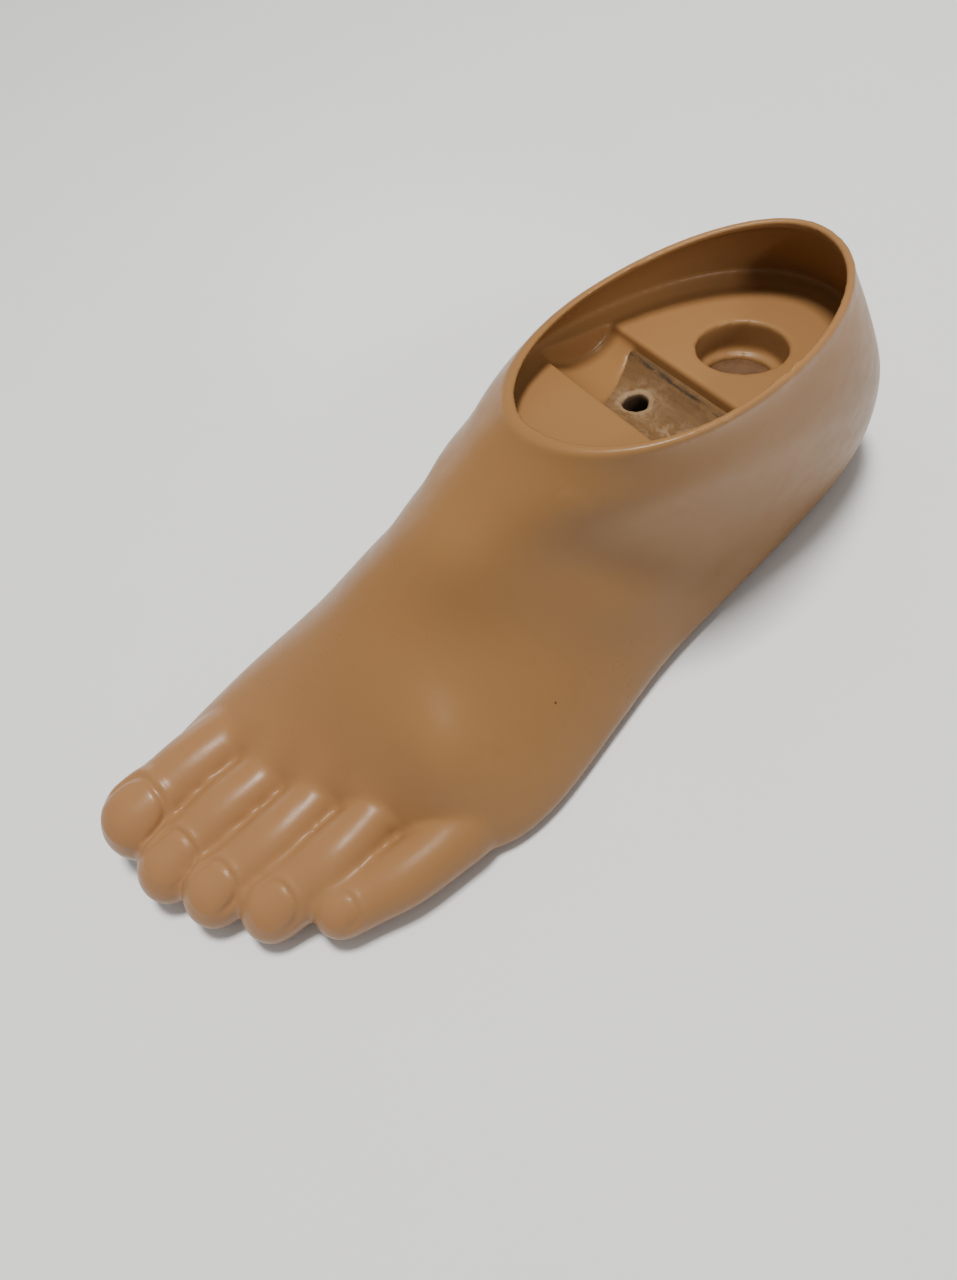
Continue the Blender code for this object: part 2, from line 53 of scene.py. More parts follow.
# Sections from the heel's top to the toes: y and z on top, y and z on the sole, inner and outer half width,
# middle x, skew, share of the height under the widest point, the two outline powers, and sweep.
SECTIONS = (
    (19, 79, 112, 78, 28, 34, 2, 0, 0.56, 2.0, 2.0, 0),
    (11, 73, 116, 67, 33, 35, 0, -1, 0.5, 2.1, 2.3, 0),
    (3, 68.5, 123, 46, 35.5, 34.5, 0, -1, 0.5, 2.1, 2.4, 0),
    (-4, 64.5, 129, 29, 36.5, 33.5, -1, -3, 0.5, 2.2, 2.3, 0),
    (-11, 61.5, 127, 9, 36, 32, -2, -3, 0.5, 2.0, 2.4, 0),
    (-16, 58.5, 114, -4, 36, 31, -3, -4, 0.5, 2.0, 2.6, 0),
    (-22, 55, 86, -4, 36, 32, -1, -5, 0.42, 2.1, 2.8, 0),
    (-29, 51, 51, -4, 38, 35, 0, -6, 0.4, 2.1, 3.0, 0),
    (-37, 46, 16, -4, 40.5, 41, 2, -8, 0.34, 2.1, 3.0, 0),
    (-46, 40, -17, -4, 44, 47, 4, -9, 0.3, 2.0, 3.0, 0.1),
    (-57, 31, -45, -4, 46, 48.5, 3, -8, 0.3, 2.1, 3.0, 0.28),
    (-67, 24, -65, -4, 44, 44, 3, -6, 0.4, 2.1, 3.0, 0.48),
    (-88, 16, -88, -4, 38, 36, 0, -5, 0.4, 2.3, 2.8, 0.6),
    (-107, 11, -108, -3, 27, 30, 0, -3, 0.4, 2.3, 2.8, 0.6),
)
NOSE, ARCH, SOLE_EDGE, EVENING, FRONT_INSET = 9, 4, 2.5, 5, 1.5
HOLLOW = ((4, -11, 57), (27, 28, 30))
HOLLOW_FILL, HOLLOW_REACH, HOLLOW_WAY = 4.5, 10, (0.77, -0.28, 0.57)
WALL = 2.2
PITCH = math.radians(-11)
BAY_Y, BAY_Z = 53, 66
TROUGH_FRONT, TROUGH_REAR, TROUGH_SAG, COVER_STEP = 44, 66, 5, 3
TROUGH_MEDIAL, TROUGH_LATERAL = -29, 30
BAND_RISE, BAND_SHRINK = 1.8, (0.87, 0.89)
POCKET_X, POCKET_Y, POCKET_R, POCKET_DEPTH = 3.5, 84, 11.6, 9
SEAT_R, SEAT_T, SEAT_SINK = 9, 2, 0.6
BOLT_X, BOLT_Y, BOLT_HOLE_R = -3.5, 54.5, 3.4
SOLE_HOLE_R = 12.1
KEEL_X0, KEEL_X1 = -24, 22

# Toes, big toe first: root, knuckle and tip centre, radius at each, then the nail's half width and length.
TOES = (
    ((-27, -71, 11), (-25, -92, 12.3), (-22, -114, 12), (10.8, 11.6, 12.2), (8.8, 8.8)),
    ((-9, -67, 11), (-6, -91, 12.8), (-4, -114, 10), (9.2, 9.6, 9.6), (6.4, 6.8)),
    ((6, -60, 11), (11, -84, 12.3), (10.5, -106, 9.3), (9, 9.4, 9.6), (6.0, 6.4)),
    ((21.5, -53, 11), (26, -74, 12), (24, -95, 8.5), (8.8, 9.3, 9.4), (5.6, 6.0)),
    ((39.5, -42, 9), (40, -62, 9.6), (36.5, -80, 8.6), (8.8, 8.4, 8.0), (4.2, 4.8)),
)

# Nail centres, big toe first.
NAILS = (
    (-19.2, -114.3, 21.5), (-0.9, -111, 18.8), (13.9, -105, 17.8), (28.7, -94.1, 17), (40.2, -80.6, 15.3),
)
NAIL_ROLL, NAIL_TILT = math.radians(16), math.radians(9)

# Clefts between the toes, in plan, from the tips back to where they fade into the forefoot.
CLEFTS = (
    ((-11.5, -108), (-12.8, -98), (-14.4, -86), (-16.8, -71)),
    ((3.4, -102), (3.0, -92), (1.5, -79), (-2.0, -62)),
    ((19.2, -94), (19.0, -85), (16.8, -71), (12.8, -54)),
    ((32.0, -85), (32.5, -78), (31.6, -66), (28.5, -47)),
)
FURROW_DEPTH, FURROW_WIDTH, FURROW_FULL, FURROW_GONE = 6.0, 5.0, 0.35, 1.0
CREASE_GAIN, CREASE_FROM, CREASE_MOST = 13, 0.015, 0.09
MOUND, MOUND_REACH, MOUND_RISE = (31, -37), 10, 3.0
INSTEP_PASSES, INSTEP_NEAR, INSTEP_FAR = 130, 12, 34

ROUGH_VOXEL = 0.0010
FINE_VOXEL = 0.0007

# Camera of the photograph's view: azimuth, elevation and roll in degrees, distance in mm, and its target.
CAM_AZ, CAM_EL, CAM_ROLL, CAM_DIST = 77.08, 52.93, -25.18, 259.5
CAM_AT = (2.85, -9.81, 22.28)
CAM_LENS = 26.77
CAM_SHIFT = (-0.0022, -0.0014)


def place(x, y, z):
    return Vector(((x - MID_X) * MM, (y - MID_Y) * MM, z * MM))


# ---- the foot's form ----


def blend_rows(rows, t):
    last = len(rows) - 1
    i = min(int(t), last - 1)
    f = t - i
    p1, p2 = rows[i], rows[i + 1]
    p0 = rows[i - 1] if i else [2 * a - b for a, b in zip(p1, p2)]
    p3 = rows[i + 2] if i + 2 <= last else [2 * b - a for a, b in zip(p1, p2)]
    return [
        0.5 * (2 * b + (c - a) * f + (2 * a - 5 * b + 4 * c - d) * f * f + (3 * b - a - 3 * c + d) * f**3)
        for a, b, c, d in zip(p0, p1, p2, p3)
    ]


def on_sole(z, floor):
    d = z - floor
    if d < -SOLE_EDGE:
        return floor
    return floor + ((d + SOLE_EDGE) ** 2 / (4 * SOLE_EDGE) if d < SOLE_EDGE else d)


def arch_height(x, y):
    return ARCH * math.exp(-(((y - 25) / 38) ** 2)) / (1 + math.exp((x + 2) / 7))


def section_ring(row, around, inset=0.0, shrink=1.0, forward=0.0):
    ty, tz, by, bz, xm, xl, xc, skew, k, top, low, sweep = row
    length = math.hypot(ty - by, tz - bz)
    ring = []
    for i in range(around):
        a = 2 * math.pi * i / around
        c, s = math.cos(a) * shrink, math.sin(a) * shrink
        power = top if s > 0 else low
        across = math.copysign(abs(c) ** (2 / power), c)
        up = abs(s) ** (2 / power)
        u = k + (1 - k) * up if s > 0 else k - k * up
        x = xc + skew * u + across * ((xl if c > 0 else xm) - inset)
        v = (inset + u * (length - inset - inset * FRONT_INSET)) / length
        y = by + (ty - by) * v + sweep * (x - xc) - forward
        z = on_sole(bz + (tz - bz) * v, arch_height(x, y)) if not inset else bz + (tz - bz) * v
        ring.append((x, y, z))
    return ring


def form_rings(along, around, inset=0.0):
    return [
        section_ring(blend_rows(SECTIONS, (len(SECTIONS) - 1) * i / (along - 1)), around, inset)
        for i in range(along)
    ]


def nose_rings(around, steps=4):
    rings = []
    for i in range(1, steps + 1):
        a = math.radians(84) * i / steps
        rings.append(section_ring(SECTIONS[-1], around, 0.0, math.cos(a), NOSE * math.sin(a)))
    return rings


def to_line(p, a, b):
    """Distance from p to the stretch from a to b."""
    along = min(max((p - a).dot(b - a) / (b - a).length_squared, 0), 1)
    return (p - a - (b - a) * along).length


def evened(rings, hollow=True):
    """The rings as an array in metres, smoothed just as the frame's skin is."""
    bm = bmesh.new()
    made = [[bm.verts.new(place(*p)) for p in ring] for ring in rings]
    count = len(rings[0])
    for one, two in zip(made, made[1:]):
        for j in range(count):
            bm.faces.new((one[j], one[(j + 1) % count], two[(j + 1) % count], two[j]))
    free = [v for ring in made[1:] for v in ring]
    sole = [v for v in free if v.co.z < 0.01 * MM]
    rest = [v for v in free if v.co.z >= 0.01 * MM]
    for _ in range(EVENING):
        bmesh.ops.smooth_vert(bm, verts=rest, factor=0.5, use_axis_x=True, use_axis_y=True, use_axis_z=True)
        bmesh.ops.smooth_vert(bm, verts=sole, factor=0.5, use_axis_x=True, use_axis_y=True, use_axis_z=False)
    a, b = (place(*p) for p in HOLLOW)
    for v in rest if hollow else []:
        share = math.exp(-((to_line(v.co, a, b) / (HOLLOW_REACH * MM)) ** 2))
        v.co += Vector(HOLLOW_WAY) * HOLLOW_FILL * MM * share
    grid = np.array([[v.co[:] for v in ring] for ring in made])
    bm.free()
    return grid


def finer(grid, k, axis, cyclic):
    """The grid with k times the points along one axis, on smooth curves through its own."""
    g = np.moveaxis(grid, axis, 0)
    n = len(g)
    t = np.arange(n * k) / k if cyclic else np.linspace(0, n - 1, (n - 1) * k + 1)
    i = np.floor(t).astype(int)
    i = np.minimum(i, n - 1 if cyclic else n - 2)
    f = (t - i)[:, None, None]
    pick = (lambda j: g[j % n]) if cyclic else (lambda j: g[np.clip(j, 0, n - 1)])
    p0, p1, p2, p3 = pick(i - 1), pick(i), pick(i + 1), pick(i + 2)
    bend, twist = 2 * p0 - 5 * p1 + 4 * p2 - p3, 3 * p1 - p0 - 3 * p2 + p3
    out = 0.5 * (2 * p1 + (p2 - p0) * f + bend * f**2 + twist * f**3)
    return np.moveaxis(out, 0, axis)


def mesh_object(name, points, faces):
    mesh = bpy.data.meshes.new(name)
    mesh.from_pydata([tuple(p) for p in points], [], faces)
    mesh.update()
    bm = bmesh.new()
    bm.from_mesh(mesh)
    bmesh.ops.recalc_face_normals(bm, faces=bm.faces)
    bm.to_mesh(mesh)
    bm.free()
    obj = bpy.data.objects.new(name, mesh)
    bpy.context.scene.collection.objects.link(obj)
    return obj


def skin_of(name, grid):
    """A closed mesh over a grid of rings."""
    n, m = grid.shape[:2]
    points = list(grid.reshape(-1, 3)) + [grid[0].mean(0), grid[-1].mean(0)]
    faces = [
        (i * m + j, i * m + (j + 1) % m, (i + 1) * m + (j + 1) % m, (i + 1) * m + j)
        for i in range(n - 1)
        for j in range(m)
    ]
    faces += [(j, (j + 1) % m, n * m) for j in range(m)]
    faces += [((n - 1) * m + j, (n - 1) * m + (j + 1) % m, n * m + 1) for j in range(m)]
    return mesh_object(name, points, faces)


def toe_skin(name, toe, along=34, around=48, dome=12):
    """A toe: slim between its knuckle and a fuller, flatter tip."""
    points = [tuple(p) + (r,) for p, r in zip(toe[:3], toe[3])]
    path = [blend_rows(points, 2 * i / (along - 1)) for i in range(along)]
    ahead = (Vector(path[-1][:3]) - Vector(path[-2][:3])).normalized()
    side = Vector((-ahead.y, ahead.x, 0)).normalized()
    side = side if side.x > 0 else -side
    tip, radius = Vector(path[-1][:3]), path[-1][3]
    behind = (Vector(path[1][:3]) - Vector(path[0][:3])).normalized()
    circles = [
        (Vector(path[0][:3]) - behind * path[0][3] * math.cos(a), path[0][3] * math.sin(a))
        for a in (math.radians(5 + 80 * i / dome) for i in range(dome))
    ]
    for i, p in enumerate(path):
        t = 2 * i / (along - 1)
        waist = 1 - 0.03 * math.exp(-(((t - 1.5) / 0.25) ** 2))
        circles.append((Vector(p[:3]), p[3] * waist))
    for i in range(1, dome + 1):
        a = math.radians(88) * i / dome
        circles.append((tip + ahead * radius * math.sin(a), radius * math.cos(a)))
    rings = []
    for centre, r in circles:
        ring = []
        for j in range(around):
            a = 2 * math.pi * j / around
            p = centre + side * (math.cos(a) * r) + Vector((0, 0, math.sin(a) * r * 0.96))
            ring.append(place(p.x, p.y, on_sole(p.z, 0.1)))
        rings.append([q[:] for q in ring])
    return skin_of(name, np.array(rings))


# ---- mesh tools ----


def applied(obj):
    """The object with its modifiers made real."""
    bpy.context.view_layer.update()
    graph = bpy.context.evaluated_depsgraph_get()
    mesh = bpy.data.meshes.new_from_object(obj.evaluated_get(graph))
    obj.modifiers.clear()
    old, obj.data = obj.data, mesh
    bpy.data.meshes.remove(old)
    return obj


def joined(name, objects):
    bm = bmesh.new()
    for obj in objects:
        bm.from_mesh(obj.data)
        bpy.data.objects.remove(obj, do_unlink=True)
    mesh = bpy.data.meshes.new(name)
    bm.to_mesh(mesh)
    bm.free()
    made = bpy.data.objects.new(name, mesh)
    bpy.context.scene.collection.objects.link(made)
    return made


def remeshed(obj, voxel):
    step = obj.modifiers.new("remesh", "REMESH")
    step.mode = "VOXEL"
    step.voxel_size = voxel
    step.use_smooth_shade = True
    return applied(obj)


def combined(obj, tools, operation="DIFFERENCE"):
    """The object cut by, joined with or kept within closed tools, which are then removed."""
    for tool in tools:
        step = obj.modifiers.new(tool.name, "BOOLEAN")
        step.operation = operation
        step.solver = "MANIFOLD"
        step.object = tool
        applied(obj)
        bpy.data.objects.remove(tool, do_unlink=True)
    return obj


def coordinates(mesh):
    co = np.empty(len(mesh.vertices) * 3)
    mesh.vertices.foreach_get("co", co)
    return co.reshape(-1, 3)


def set_coordinates(mesh, co):
    mesh.vertices.foreach_set("co", co.astype(np.float32).ravel())
    mesh.update()


def neighbour_mean(mesh):
    """A function that gives, for one value at each point, the mean over that point's neighbours."""
    edges = np.empty(len(mesh.edges) * 2, np.int32)
    mesh.edges.foreach_get("vertices", edges)
    a, b = edges.reshape(-1, 2).T
    n = len(mesh.vertices)
    count = np.maximum(np.bincount(a, minlength=n) + np.bincount(b, minlength=n), 1)
    return lambda v: (np.bincount(a, v[b], minlength=n) + np.bincount(b, v[a], minlength=n)) / count


def smoothed(obj, passes, weight=None, flat_sole=True):
    """Laplacian smoothing; weight, 0 to 1 for each point, limits where."""
    mesh = obj.data
    around = neighbour_mean(mesh)
    co = coordinates(mesh)
    on_floor = co[:, 2] < 0.05 * MM
    for _ in range(passes):
        move = 0.5 * (np.stack([around(co[:, k]) for k in range(3)], 1) - co)
        if weight is not None:
            move *= weight[:, None]
        if flat_sole:
            move[on_floor, 2] = 0
        co = co + move
    set_coordinates(mesh, co)


def deepened(obj, weight):
    """Draws the skin inwards along its creases, by how hollow they are."""
    mesh = obj.data
    around = neighbour_mean(mesh)
    co, normal = coordinates(mesh), normals_of(mesh)
    hollow = sum((around(co[:, k]) - co[:, k]) * normal[:, k] for k in range(3))
    for _ in range(3):
        hollow = 0.5 * hollow + 0.5 * around(hollow)
    lift = CREASE_GAIN * np.clip(hollow - CREASE_FROM * MM, 0, CREASE_MOST * MM) * weight
    set_coordinates(mesh, co - normal * lift[:, None])


def normals_of(mesh):
    n = np.empty(len(mesh.vertices) * 3, np.float32)
    mesh.vertex_normals.foreach_get("vector", n)
    return n.reshape(-1, 3).astype(float)


def step_up(x, lo, hi):
    t = np.clip((x - lo) / (hi - lo), 0, 1)
    return t * t * (3 - 2 * t)


# ---- tools that cut the ankle bay ----


def bay_point(s, h):
    middle = (TROUGH_FRONT + TROUGH_REAR) / 2
    y0, z0 = middle, BAY_Z + math.tan(PITCH) * (middle - BAY_Y)
    return (y0 + s * math.cos(PITCH) - h * math.sin(PITCH), z0 + s * math.sin(PITCH) + h * math.cos(PITCH))


def bay_z(y, h=0.0):
    return BAY_Z + math.tan(PITCH) * (y - BAY_Y) + h / math.cos(PITCH)


def arc_drop(s):
    """Depth of the round seat below its edges, s from its middle line."""
    half = (TROUGH_REAR - TROUGH_FRONT) / 2 / math.cos(PITCH)
    radius = (half * half + TROUGH_SAG**2) / (2 * TROUGH_SAG)
    return math.sqrt(max(radius * radius - s * s, 0)) - math.sqrt(radius * radius - half * half)


def slab(name, outline, x0, x1):
    """A (y, z) outline given a width in x."""
    n = len(outline)
    points = [place(x, y, z)[:] for x in (x0, x1) for y, z in outline]
    faces = [tuple(range(n)), tuple(range(n, 2 * n))]
    faces += [(i, (i + 1) % n, n + (i + 1) % n, n + i) for i in range(n)]
    return mesh_object(name, points, faces)


def bay_tool():
    """The collar's inside; below, it draws in so that a sloped band stays round the platforms."""
    grid = evened(form_rings(40, 40, WALL)[:14], hollow=False)
    lid = grid[0] + np.array([0, 0, 14 * MM])
    inside = skin_of("bay", finer(finer(np.concatenate([lid[None], grid]), 3, 1, True), 3, 0, False))
    mesh = inside.data
    up = Vector(bay_axis())
    rise = up * BAND_RISE * MM
    bm = bmesh.new()
    bm.from_mesh(mesh)
    level = place(0, BAY_Y, BAY_Z) + rise
    bmesh.ops.bisect_plane(
        bm, geom=bm.verts[:] + bm.edges[:] + bm.faces[:], plane_co=level, plane_no=up, clear_inner=True
    )
    grown = bmesh.ops.extrude_edge_only(bm, edges=[e for e in bm.edges if e.is_boundary])["geom"]
    low = [v for v in grown if isinstance(v, bmesh.types.BMVert)]
    middle = sum((v.co for v in low), Vector()) / len(low)
    for v in low:
        v.co.x = middle.x + (v.co.x - middle.x) * BAND_SHRINK[0]
        v.co.y = middle.y + (v.co.y - middle.y) * BAND_SHRINK[1]
        v.co -= up * (v.co - level).dot(up) + rise
    bmesh.ops.contextual_create(bm, geom=[e for e in bm.edges if e.is_boundary])
    bmesh.ops.recalc_face_normals(bm, faces=bm.faces)
    bm.to_mesh(mesh)
    bm.free()
    return inside


def saddle_line(s):
    """x of the moulding's edge over the keel at the inner end of the trough."""
    return -11 - 0.62 * s


def height_tool(name, x0, x1, s0, s1, depth, top=8.0, step=0.6):
    """A block whose underside is a height field over the trough; depth(x, s) is below the platform plane."""
    xs = np.arange(x0, x1 + step, step)
    ss = np.linspace(s0, s1, int((s1 - s0) / step) + 1)
    n, m = len(xs), len(ss)
    low, high = [], []
    for x in xs:
        for s in ss:
            low.append(place(x, *bay_point(s, -depth(x, s)))[:])
            high.append(place(x, *bay_point(s, top))[:])
    points = low + high
    k = n * m
    at = lambda i, j: i * m + j
    faces = []
    for i in range(n - 1):
        for j in range(m - 1):
            quad = (at(i, j), at(i, j + 1), at(i + 1, j + 1), at(i + 1, j))
            faces += [quad, tuple(q + k for q in reversed(quad))]
    for i in range(n - 1):
        for j in (0, m - 1):
            faces.append((at(i, j), at(i + 1, j), at(i + 1, j) + k, at(i, j) + k))
    for j in range(m - 1):
        for i in (0, n - 1):
            faces.append((at(i, j), at(i, j + 1), at(i, j + 1) + k, at(i, j) + k))
    return mesh_object(name, points, faces)


def trough_tools():
    half = (TROUGH_REAR - TROUGH_FRONT) / 2 / math.cos(PITCH)

    def moulding(x, s):
        ramp = max(0.0, saddle_line(s) - x) / 15
        return max(COVER_STEP + arc_drop(s) - 0.45 - 0.9 * ramp**1.4, 0.4)

    def bare(x, s):
        bare_share = min(max((x - saddle_line(s)) / 0.6 + 0.5, 0.0), 1.0) if x < KEEL_X1 + 4 else 0.0
        return COVER_STEP + arc_drop(s) - 1.5 + 3.1 * bare_share

    return [
        height_tool("trough", TROUGH_MEDIAL + 2, TROUGH_LATERAL, -half, half, moulding),
        height_tool("bare_seat", -22, KEEL_X1 + 5, -half + 0.05, half - 0.05, bare),
    ]


def turned(name, profile, centre, axis, steps=96):
    """A closed (radius, height) profile from axis to axis, swept round an axis."""
    turns = [2 * math.pi * j / steps for j in range(steps)]
    rings = []
    for r, z in profile:
        r = max(r, 0.01)
        rings.append([(r * math.cos(a), r * math.sin(a), z) for a in turns])
    grid = np.array(rings) * MM
    obj = skin_of(name, grid)
    turn = Vector((0, 0, 1)).rotation_difference(Vector(axis)).to_matrix().to_4x4()
    obj.data.transform(Matrix.Translation(place(*centre)) @ turn)
    return obj


def bay_axis():
    return (0, -math.sin(PITCH), math.cos(PITCH))


# ---- details of the moulding ----


def toe_frames():
    """For each toe: nail centre, its forward, side and up directions, and the nail's half sizes."""
    found = []
    for toe, centre in zip(TOES, NAILS):
        ahead = Vector(toe[2]) - Vector(toe[1])
        ahead = Vector((ahead.x, ahead.y, 0)).normalized()
        side = Vector((-ahead.y, ahead.x, 0)).normalized()
        side = side if side.x > 0 else -side
        up = (Vector((0, 0, 1)) + side * math.tan(NAIL_ROLL) + ahead * math.tan(NAIL_TILT)).normalized()
        side = (side - up * side.dot(up)).normalized()
        ahead = up.cross(side) if up.cross(side).dot(ahead) > 0 else side.cross(up)
        found.append((Vector(centre), ahead, side, up, toe[4]))
    return found


def carve_nails(obj):
    mesh = obj.data
    co, normal = coordinates(mesh), normals_of(mesh)
    lift = np.zeros(len(co))
    for centre, ahead, side, up, (half_width, half_length) in toe_frames():
        rel = co - np.array(place(*centre))
        u = rel @ np.array(side) / (half_width * MM)
        v = rel @ np.array(ahead) / (half_length * MM)
        w = rel @ np.array(up) / MM
        facing = step_up(normal @ np.array(up), 0.15, 0.5) * (np.abs(w) < 9)
        e = (np.abs(u) ** 2.5 + np.abs(v) ** 2.5) ** (1 / 2.5)
        back = step_up(-v, -0.75, 0.15)
        wide = min(1.0, half_width / 7)
        lift += facing * wide * (
            0.22 * (1 - step_up(e, 0.84, 1.0)) * step_up(-v, -1.1, -0.6)
            - 0.62 * back * np.exp(-(((e - 1.03) / 0.075) ** 2))
            + 0.42 * back * np.exp(-(((e - 1.24) / 0.13) ** 2))
            + 0.30 * (1 - back) * np.exp(-(((e - 0.98) / 0.09) ** 2))
        )
    set_coordinates(mesh, co + normal * (lift * MM)[:, None])


def line_distance(co, a, b):
    """Distance in plan from each point to the segment a-b, and how far along it that is, 0 to 1."""
    a, b = np.array(place(*a, 0))[:2], np.array(place(*b, 0))[:2]
    d = b - a
    t = np.clip(((co[:, :2] - a) @ d) / (d @ d), 0, 1)
    return np.linalg.norm(co[:, :2] - a - t[:, None] * d, axis=1) / MM, t


def furrow(obj):
    """Lowers the upper skin along the clefts, less and less rearwards, so that the toes stand clear of it."""
    mesh = obj.data
    co, normal = coordinates(mesh), normals_of(mesh)
    facing = step_up(normal[:, 2], 0.3, 0.7)
    drop = np.zeros(len(co))
    for cleft in CLEFTS:
        last = len(cleft) - 1
        nearest, along = np.full(len(co), 1e9), np.zeros(len(co))
        for i in range(last):
            d, t = line_distance(co, cleft[i], cleft[i + 1])
            closer = d < nearest
            nearest[closer], along[closer] = d[closer], (i + t[closer]) / last
        fade = 1 - step_up(along, FURROW_FULL, FURROW_GONE)
        drop += FURROW_DEPTH * fade * np.exp(-((nearest / FURROW_WIDTH) ** 2))
    set_coordinates(mesh, co - normal * (drop * facing * MM)[:, None])


def raise_mound(obj):
    """The low swelling over the lateral metatarsal heads."""
    mesh = obj.data
    co, normal = coordinates(mesh), normals_of(mesh)
    d, _ = line_distance(co, MOUND, (MOUND[0], MOUND[1] + 1))
    lift = MOUND_RISE * np.exp(-((d / MOUND_REACH) ** 2)) * step_up(normal[:, 2], 0.3, 0.7)
    set_coordinates(mesh, co + normal * (lift * MM)[:, None])


def bay_weight(co):
    """1 in and near the ankle bay, where the cuts need softening."""
    above = co[:, 2] / MM - (BAY_Z + math.tan(PITCH) * (co[:, 1] / MM + MID_Y - BAY_Y))
    return step_up(above, -16, -12)


def make_moulding():
    around = 36
    grid = evened(form_rings(36, around) + nose_rings(around))
    body = skin_of("body", finer(finer(grid, 4, 1, True), 4, 0, False))
    furrow(body)
    toes = [toe_skin(f"toe_{i}", toe) for i, toe in enumerate(TOES)]
    foot = remeshed(joined("foot_moulding", [body] + toes), ROUGH_VOXEL)
    co = coordinates(foot.data)
    toes_only = 1 - step_up(co[:, 1], -0.052, -0.030)
    smoothed(foot, 5, toes_only)
    raise_mound(foot)
    deepened(foot, toes_only)
    smoothed(foot, 2, toes_only)
    ends = [place(*p) for p in HOLLOW]
    away = np.array([to_line(Vector(p), *ends) for p in coordinates(foot.data)]) / MM
    smoothed(foot, INSTEP_PASSES, 1 - step_up(away, INSTEP_NEAR, INSTEP_FAR))
    pocket = [
        (0, 9), (POCKET_R + 0.15, 9), (POCKET_R + 0.15, 0.1), (POCKET_R, -0.3),
        (POCKET_R, -POCKET_DEPTH + 0.6),
        (POCKET_R - 0.8, -POCKET_DEPTH), (SEAT_R + 0.35, -POCKET_DEPTH), (SEAT_R + 0.35, -POCKET_DEPTH - 3.2),
        (0, -POCKET_DEPTH - 3.2),
    ]
    tools = [bay_tool()] + trough_tools()
    way = [(0, 66), (6, 66), (6, 16.2), (SOLE_HOLE_R, 16.2), (SOLE_HOLE_R, 5), (0, 5)]
    tools.append(turned("bolt_room", way, (BOLT_X, BOLT_Y, 0), (0, 0, 1)))
    tools.append(turned("pocket", pocket, (POCKET_X, POCKET_Y, bay_z(POCKET_Y)), bay_axis()))
    mouth = SOLE_HOLE_R + 0.8
    hole = [(0, 10.2), (SOLE_HOLE_R, 10.2), (SOLE_HOLE_R, 0.8), (mouth, -0.3), (mouth, -4), (0, -4)]
    tools.append(turned("sole_hole", hole, (BOLT_X, BOLT_Y, 0), (0, 0, 1)))
    combined(foot, tools)
    remeshed(foot, FINE_VOXEL)
    smoothed(foot, 3)
    carve_nails(foot)
    smoothed(foot, 1, 1 - bay_weight(coordinates(foot.data)))
    foot.data.shade_smooth()
    return foot


# ---- the keel's visible seat ----


def ragged(angle):
    """Radius of the worn bolt hole round its rim."""
    return BOLT_HOLE_R * (
        1 + 0.10 * math.sin(3 * angle + 0.4) + 0.09 * math.sin(5 * angle + 1.1) + 0.07 * math.sin(11 * angle)
        + 0.42 * math.exp(-(((angle - 3.5) / 0.28) ** 2))
    )


def keel_outline():
    tongue = -POCKET_DEPTH - SEAT_T - 1.6
    outline = [(100, 18), (84, 8.1), (-34, 8.1), (-34, 20), (-12, 38), (6, 52), (26, bay_z(26, -COVER_STEP))]
    half = (TROUGH_REAR - TROUGH_FRONT) / 2 / math.cos(PITCH)
    for i in range(25):
        s = half * (2 * i / 24 - 1)
        outline.append(bay_point(s, -COVER_STEP - arc_drop(s)))
    outline += [(70, bay_z(70, -COVER_STEP)), (70, bay_z(70, tongue)), (100, bay_z(100, tongue))]
    return outline


def make_keel():
    keel = slab("keel_block", keel_outline(), KEEL_X0, KEEL_X1)
    limit = skin_of("keel_limit", np.array([[place(*p)[:] for p in ring] for ring in form_rings(26, 32, 7)]))
    combined(keel, [limit], "INTERSECT")
    steps = 96
    rings = []
    levels = (
        (90, 1.0, 1), (60.2, 1.0, 1), (59.0, 0.96, 0.8), (55.5, 0.93, 0.2), (47, 0.93, 0), (-4, 0.93, 0),
    )
    for z, grow, worn in levels:
        ring = []
        for j in range(steps):
            a = 2 * math.pi * j / steps
            r = (BOLT_HOLE_R * (1 - worn) + ragged(a) * worn) * grow
            ring.append(place(BOLT_X + r * math.cos(a), BOLT_Y + r * math.sin(a), z)[:])
        rings.append(ring)
    way = skin_of("bolt_way", np.array(rings))
    bore = [(0, 49.3), (5.5, 49.3), (5.5, 16), (SOLE_HOLE_R, 16), (SOLE_HOLE_R, -4), (0, -4)]
    well = turned("bolt_well", bore, (BOLT_X, BOLT_Y, 0), (0, 0, 1))
    combined(keel, [way, well])
    remeshed(keel, FINE_VOXEL)
    smoothed(keel, 2, flat_sole=False)
    roughen_seat(keel)
    keel.data.shade_smooth()
    return keel


def roughen_seat(keel):
    """Scratches and a chipped lip in the seat, where the ankle block has worn it."""
    mesh = keel.data
    co, normal = coordinates(mesh), normals_of(mesh)
    x, y = co[:, 0] / MM + MID_X, co[:, 1] / MM + MID_Y
    z = co[:, 2] / MM
    seat = (normal[:, 2] > 0.5) & (y > 42) & (y < 68) & (z > 50)
    lift = np.zeros(len(co))
    for i in np.nonzero(seat)[0]:
        p = Vector((x[i] * 0.25, y[i] * 0.9, z[i] * 0.5))
        lift[i] = 0.10 * noise.noise(p) + 0.06 * noise.noise(p * 3.1)
        r = math.hypot(x[i] - BOLT_X, y[i] - BOLT_Y)
        lift[i] += (0.16 + 0.35 * noise.noise(p * 2.3)) * math.exp(-(((r - 4.6) / 0.9) ** 2))
    set_coordinates(mesh, co + normal * (lift * MM)[:, None])


